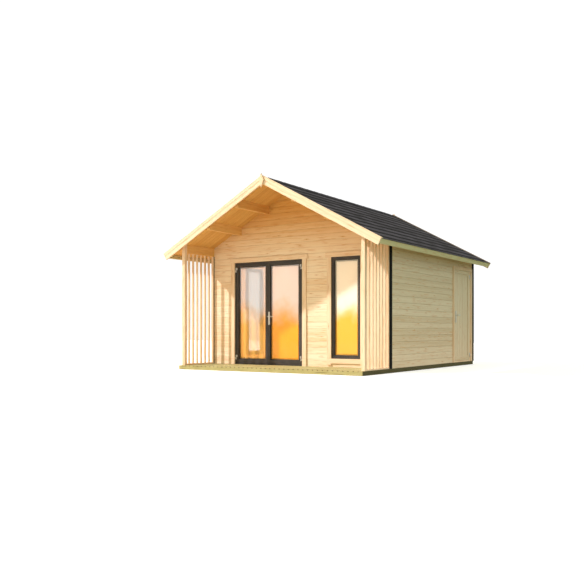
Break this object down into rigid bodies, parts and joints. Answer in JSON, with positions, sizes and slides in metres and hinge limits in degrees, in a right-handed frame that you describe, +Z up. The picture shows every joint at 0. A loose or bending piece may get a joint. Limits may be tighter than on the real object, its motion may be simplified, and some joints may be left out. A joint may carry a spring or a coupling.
{
  "type": "garden log cabin with porch",
  "caption": "Timber log cabin with a gabled roof over a front porch, glazed double doors, tall windows and a boarded side door.",
  "frame": {"origin": "on the ground, under the middle of the roof", "axes": "+X to the right along the front, +Y from the porch to the rear wall, +Z up"},
  "size_m": [4.584, 5.32, 3.4456],
  "materials": {
    "base_timber": "pressure-treated, green",
    "pine": "planed spruce, untreated",
    "roof_pine": "planed spruce boards",
    "felt": "mineral-faced bitumen",
    "black_strip": "satin black",
    "anthracite": "satin anthracite paint on timber",
    "clear_glass": "clear double glazing",
    "satin_steel": "satin"
  },
  "bodies": {
    "house": {"base_side_bearers": "base_timber", "base_cross_bearers": "base_timber", "porch_deck": "base_timber", "floor": "pine", "front_wall": "pine", "front_wall_infill": "pine", "front_gable": "pine", "rear_wall": "pine", "rear_gable": "pine", "left_wall": "pine", "left_wall_infill": "pine", "right_wall": "pine", "right_wall_infill": "pine", "purlins": "roof_pine", "roof_boards_left": "roof_pine", "roof_boards_right": "roof_pine", "roof_covering_left": "felt", "roof_covering_right": "felt", "ridge_cap": "felt", "fascias": "pine", "front_barges": "pine", "rear_barges": "pine", "verge_laths": "pine", "finials": "pine", "porch_posts": "pine", "porch_headers": "pine", "left_screen": "pine", "right_screen": "pine", "corner_strips": "black_strip", "door_frame": "anthracite", "door_casings": "pine", "door_hinges": "satin_steel", "window_frames": "anthracite", "window_glass": "clear_glass", "window_casings": "pine", "side_door_frame": "pine", "side_hinges": "satin_steel"},
    "left_leaf": {"left_leaf": "anthracite", "left_leaf_glass": "clear_glass", "left_leaf_fittings": "satin_steel"},
    "right_leaf": {"right_leaf": "anthracite", "right_leaf_glass": "clear_glass", "right_leaf_fittings": "satin_steel"},
    "door_levers": {"door_levers": "satin_steel"},
    "side_leaf": {"side_leaf": "pine", "side_leaf_fittings": "satin_steel"},
    "side_levers": {"side_levers": "satin_steel"}
  },
  "joints": [
    {"name": "left_leaf_hinge", "type": "hinge", "parent": "house", "child": "left_leaf", "pos_m": [-1.3455, -1.61, 1], "axis": [0, 0, -1], "range_deg": [0, 105]},
    {"name": "right_leaf_hinge", "type": "hinge", "parent": "house", "child": "right_leaf", "pos_m": [0.1515, -1.61, 1], "axis": [0, 0, 1], "range_deg": [0, 105]},
    {"name": "door_lever_turn", "type": "hinge", "parent": "right_leaf", "child": "door_levers", "pos_m": [-0.5645, -1.601, 0.99], "axis": [0, 1, 0], "range_deg": [0, 40], "stiffness_Nm_per_rad": 2, "springref_deg": -20.05},
    {"name": "side_leaf_hinge", "type": "hinge", "parent": "house", "child": "side_leaf", "pos_m": [1.949, 2.292, 1], "axis": [0, 0, 1], "range_deg": [0, 105]},
    {"name": "side_lever_turn", "type": "hinge", "parent": "side_leaf", "child": "side_levers", "pos_m": [1.94, 1.4845, 1.045], "axis": [-1, 0, 0], "range_deg": [0, 40], "stiffness_Nm_per_rad": 2, "springref_deg": -20.05}
  ]
}
